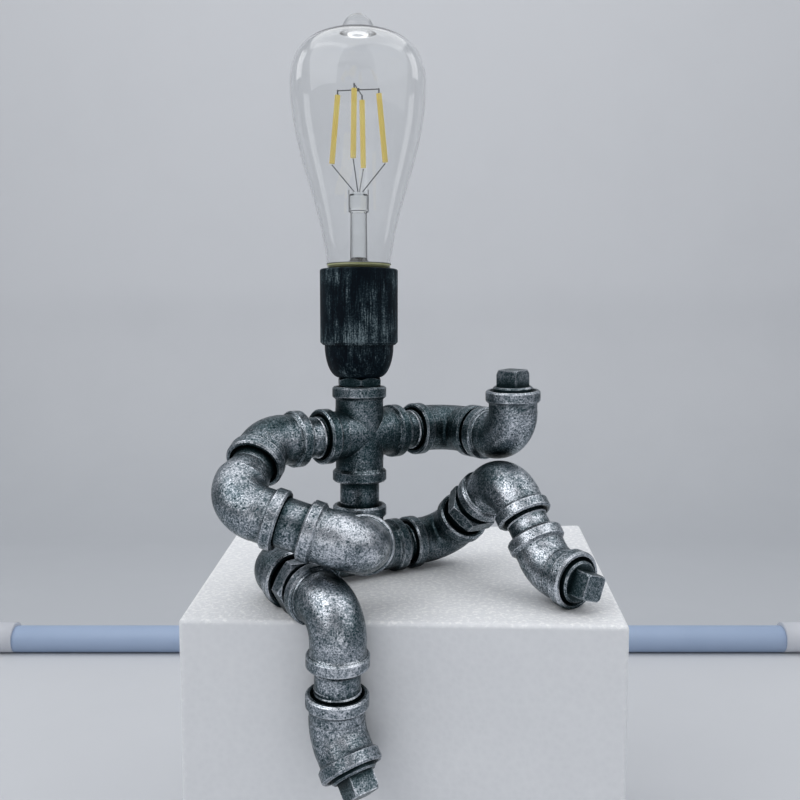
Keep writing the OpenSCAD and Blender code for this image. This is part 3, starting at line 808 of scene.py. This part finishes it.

# %% [markdown]
# ## Foam
# Rigid white foam of pressed beads. Bright specks are painted on the top and the edges as glints,
# and the top and the edges are painted lighter, as lit from above.

# %% Material: foam
FOAM_EDGES = {"Edge radius": 4 * MM, "Hollow reach": 4 * MM}
BEAD_SCALE = 330.0
CRUMB_NOISE = (460.0, 3.0, 0.6)
SOFT_NOISE = (14.0, 2.0, 0.5)
# Crumbs in this range become painted glints.
GLINT_CRUMBS = (0.50, 0.66)
BEAD_LIFT = 0.20
SOFT_LIFT = 0.60
# How much the painted glints and the painted top light lift the tone.
GLINT_LIFT = 0.55
TOP_LIGHT_LIFT = 0.18
SIDE_GRIT = 0.15
BEAD_GRIT = 0.12
FOAM_TONES = [
    (0.2, (0.67, 0.685, 0.715)), (0.6, (0.74, 0.755, 0.78)), (1.0, (0.88, 0.89, 0.90)),
]
FOAM_ROUGHNESS = (0.7, 0.9)
FOAM_RELIEF = (0.9 * MM, 0.5)

foam, tree, shader = material("Foam")
where = node(tree, "ShaderNodeTexCoord")
beads = node(tree, "ShaderNodeTexVoronoi", {"Scale": BEAD_SCALE})
crumbs = noise(tree, *CRUMB_NOISE)
soft = noise(tree, *SOFT_NOISE)
for texture in (beads, crumbs, soft):
    wire(tree, where, "Object", texture, "Vector")
split = node(tree, "ShaderNodeSeparateXYZ")
wire(tree, where, "Normal", split, "Vector")
worn = use_group(tree, edges, FOAM_EDGES).outputs
upward = maths(tree, "MULTIPLY", split.outputs["Z"], 1.0, clamp=True)
on_top = maths(tree, "ADD", upward, worn["Edge"])
glint_spots = remap(tree, crumbs.outputs["Fac"], GLINT_CRUMBS)
bead_part = maths(tree, "MULTIPLY", beads.outputs["Distance"], BEAD_LIFT)
soft_part = maths(tree, "MULTIPLY", soft.outputs["Fac"], SOFT_LIFT)
# Painted glints and painted top light, on the top and the edges.
painted_glints = maths(tree, "ADD", maths(tree, "MULTIPLY", glint_spots, GLINT_LIFT), TOP_LIGHT_LIFT)
lift = maths(tree, "ADD", bead_part, soft_part)
lift = maths(tree, "ADD", lift, maths(tree, "MULTIPLY", painted_glints, on_top))
paint(tree, shader, lift, FOAM_TONES)
roughen(tree, shader, lift, FOAM_ROUGHNESS)
coarse = maths(tree, "ADD", on_top, SIDE_GRIT)
coarse = maths(tree, "MULTIPLY", crumbs.outputs["Fac"], coarse)
bead_grit = maths(tree, "MULTIPLY", beads.outputs["Distance"], BEAD_GRIT)
grit = maths(tree, "ADD", coarse, bead_grit)
wire(tree, bumps(tree, grit, *FOAM_RELIEF), "Normal", shader, "Normal")
print("foam ready")

# %% [markdown]
# ## Tent cloth and tube paint
# The cloth darkens with the distance behind the block, most on the floor and less up the wall.
# A broad noise keeps the shade from looking drawn.

# %% Materials: cloth and tube
SHADE_AHEAD = (0.35, 0.42)
SHADE_FLOOR = (0.40, 1.0)
SHADE_UP = (-0.17, 0.22)
WEAVE_NOISE = (6.0, 4.0, 0.6)
WEAVE_GAIN = 0.25
CLOTH_TONES = [(0.0, (0.63, 0.645, 0.675)), (1.0, (0.45, 0.47, 0.50))]
CLOTH_ROUGHNESS = (0.72, 0.88)
PAINT_SCALE = 40.0

paper, tree, shader = material("Tent cloth")
where = node(tree, "ShaderNodeTexCoord")
behind = node(tree, "ShaderNodeVectorMath", {1: tuple(AHEAD)}, operation="DOT_PRODUCT")
split = node(tree, "ShaderNodeSeparateXYZ")
weave = noise(tree, *WEAVE_NOISE)
wire(tree, where, "Object", behind, 0)
wire(tree, where, "Object", split, "Vector")
wire(tree, where, "Object", weave, "Vector")
shade = remap(tree, behind.outputs["Value"], SHADE_AHEAD, SHADE_FLOOR)
rise = remap(tree, split.outputs["Z"], SHADE_UP, (1.0, 0.0))
weave_part = maths(tree, "SUBTRACT", weave.outputs["Fac"], NOISE_MIDDLE)
weave_part = maths(tree, "MULTIPLY", weave_part, WEAVE_GAIN)
shadow = maths(tree, "ADD", maths(tree, "MULTIPLY", shade, rise), weave_part)
paint(tree, shader, shadow, CLOTH_TONES)
roughen(tree, shader, weave.outputs["Fac"], CLOTH_ROUGHNESS)
tube_paint = simple("Tube", (0.29, 0.38, 0.54), (0.34, 0.43, 0.59), 0.5, scale=PAINT_SCALE)
joint_paint = simple("Tube joint", (0.56, 0.58, 0.63), (0.64, 0.66, 0.71), 0.5, scale=PAINT_SCALE)
print("cloth and tube paint ready")

# %% [markdown]
# ## The foam block
# Its top is the seat, at height 0, and its edges are softened with a Bevel modifier.
# The corners are (across, ahead), seen from above. The tube's height gives the floor's height.

# %% Foam block
BLOCK_CORNERS = [(-0.0785, -0.0685), (0.1220, -0.0775), (0.1410, 0.1200), (-0.0840, 0.1080)]
SOFT_EDGE = 2 * MM
TUBE = {"ahead": 0.36, "up": -0.166, "radius": 0.0125, "half_wide": 1.2}
FLOOR_Z = TUBE["up"] - TUBE["radius"]

points = [on_stage(across, ahead, FLOOR_Z) for across, ahead in BLOCK_CORNERS]
points += [on_stage(across, ahead, 0.0) for across, ahead in BLOCK_CORNERS]
faces = [(3, 2, 1, 0), (4, 5, 6, 7), (0, 1, 5, 4), (1, 2, 6, 5), (2, 3, 7, 6), (3, 0, 4, 7)]
foam_block = mesh_object("Foam block", points, faces, foam)
rounded = foam_block.modifiers.new("soft corners", "BEVEL")
rounded.width = SOFT_EDGE
rounded.segments = 4
print("block:", foam_block.name)

# %% [markdown]
# ## The tube of the tent frame
# It lies on the floor behind the block and carries two pale joints.

# %% Tube on the floor
TUBE_SIDES = 48
JOINT = {"left": -0.3480, "right": 0.3884, "radius": 0.0140, "long": 0.14}


def tube_part(name, start, end, radius, look):
    low = on_stage(start, TUBE["ahead"], FLOOR_Z + radius)
    high = on_stage(end, TUBE["ahead"], FLOOR_Z + radius)
    made = round_bar(name, low, high, radius, look, TUBE_SIDES)


joint_r = JOINT["radius"]
tube_part("Tent tube", -TUBE["half_wide"], TUBE["half_wide"], TUBE["radius"], tube_paint)
tube_part("Joint left", JOINT["left"] - JOINT["long"], JOINT["left"], joint_r, joint_paint)
tube_part("Joint right", JOINT["right"], JOINT["right"] + JOINT["long"], joint_r, joint_paint)
print("tube on the floor at", round(FLOOR_Z, 4))

# %% [markdown]
# ## The light tent
# One sheet makes the floor, a curved sweep and the back wall, so no corner shows behind the lamp.

# %% Tent: floor, sweep and back wall
SWEEP = {"front": -1.2, "wall": 1.15, "bend": 0.35, "top": 2.2, "half_wide": 2.4, "steps": 24}

profile = [(SWEEP["front"], FLOOR_Z)]
for i in range(SWEEP["steps"] + 1):
    angle = math.pi / 2 * i / SWEEP["steps"]
    ahead = SWEEP["wall"] - SWEEP["bend"] + SWEEP["bend"] * math.sin(angle)
    up = FLOOR_Z + SWEEP["bend"] - SWEEP["bend"] * math.cos(angle)
    profile.append((ahead, up))
profile.append((SWEEP["wall"], SWEEP["top"]))
points = []
for ahead, up in profile:
    points.append(on_stage(-SWEEP["half_wide"], ahead, up))
    points.append(on_stage(SWEEP["half_wide"], ahead, up))
faces = [(2 * i, 2 * i + 1, 2 * i + 3, 2 * i + 2) for i in range(len(profile) - 1)]
tent = mesh_object("Tent cloth", points, faces, paper)
smooth(tent)
print("tent sweep faces:", len(faces))

# %% [markdown]
# ## The camera
# It stands in front, to the figure's right, at the height of the lamp holder.

# %% Camera
CAMERA_AT = Vector((-0.2309, -0.3800, 0.1290))
LOOK = Vector((0.5575, 0.8263, -0.0799))
LENS = 38.57
SENSOR = 36.0
camera_data = bpy.data.cameras.new("Camera")
camera_data.lens = LENS
camera_data.sensor_width = SENSOR
camera = bpy.data.objects.new("Camera", camera_data)
camera.location = CAMERA_AT
camera.rotation_euler = LOOK.to_track_quat("-Z", "Y").to_euler()
bpy.context.scene.collection.objects.link(camera)
bpy.context.scene.camera = camera
print("camera lens:", camera_data.lens)

# %% [markdown]
# ## The lights
# Large soft panels give the even light of a tent. Each row says where the panel hangs,
# how large it is, how strong it is, and the point it faces.
# Seen from behind, a front panel would show as a white patch in the bulb, so the rays that
# pass through glass don't see the front panels.

# %% Lights
PANELS = {
    "Top": ((0.0, 0.1, 1.5), (2.6, 2.2), 18.5, (0.0, 0.1, 0.0)),
    "Front left": ((-1.00, -0.65, 0.95), (1.4, 1.2), 8.8, (0.0, 0.0, 0.05)),
    "Front right": ((1.10, -0.60, 0.85), (1.6, 1.4), 6.6, (0.0, 0.0, 0.05)),
    "Low front": ((0.0, -0.95, 0.0), (1.2, 0.4), 0.9, (0.0, 0.0, 0.0)),
    "Side left": ((-0.85, 0.36, 0.66), (0.30, 0.34), 0.40, (0.0, 0.0, 0.20)),
    "Side right": ((0.85, 0.36, 0.66), (0.30, 0.34), 0.40, (0.0, 0.0, 0.20)),
    "Backdrop": ((0.0, 0.2, 1.9), (1.6, 0.4), 1.0, (0.0, 1.1, 1.3)),
}
FRONT_PANELS = ("Front left", "Front right", "Low front")


def area_light(name, place, size, power, target):
    data = bpy.data.lights.new(name, "AREA")
    data.shape = "RECTANGLE"
    data.size = size[0]
    data.size_y = size[1]
    data.energy = power
    panel = bpy.data.objects.new(name, data)
    panel.location = on_stage(*place)
    aim = on_stage(*target) - panel.location
    panel.rotation_euler = aim.to_track_quat("-Z", "Y").to_euler()
    bpy.context.scene.collection.objects.link(panel)
    return panel


for name, row in PANELS.items():
    panel = area_light(name, *row)
    panel.visible_transmission = name not in FRONT_PANELS

# %% [markdown]
# ## The world
# A weak bluish light comes from all round, as it does inside a tent.

# %% World and view
WORLD_COLOUR = (0.78, 0.81, 0.86, 1.0)
WORLD_STRENGTH = 0.31
world = bpy.data.worlds.new("Tent light")
world.use_nodes = True
bpy.context.scene.world = world
background = world.node_tree.nodes["Background"]
background.inputs["Color"].default_value = WORLD_COLOUR
background.inputs["Strength"].default_value = WORLD_STRENGTH
bpy.context.scene.view_settings.view_transform = "Standard"
print("world strength:", WORLD_STRENGTH)
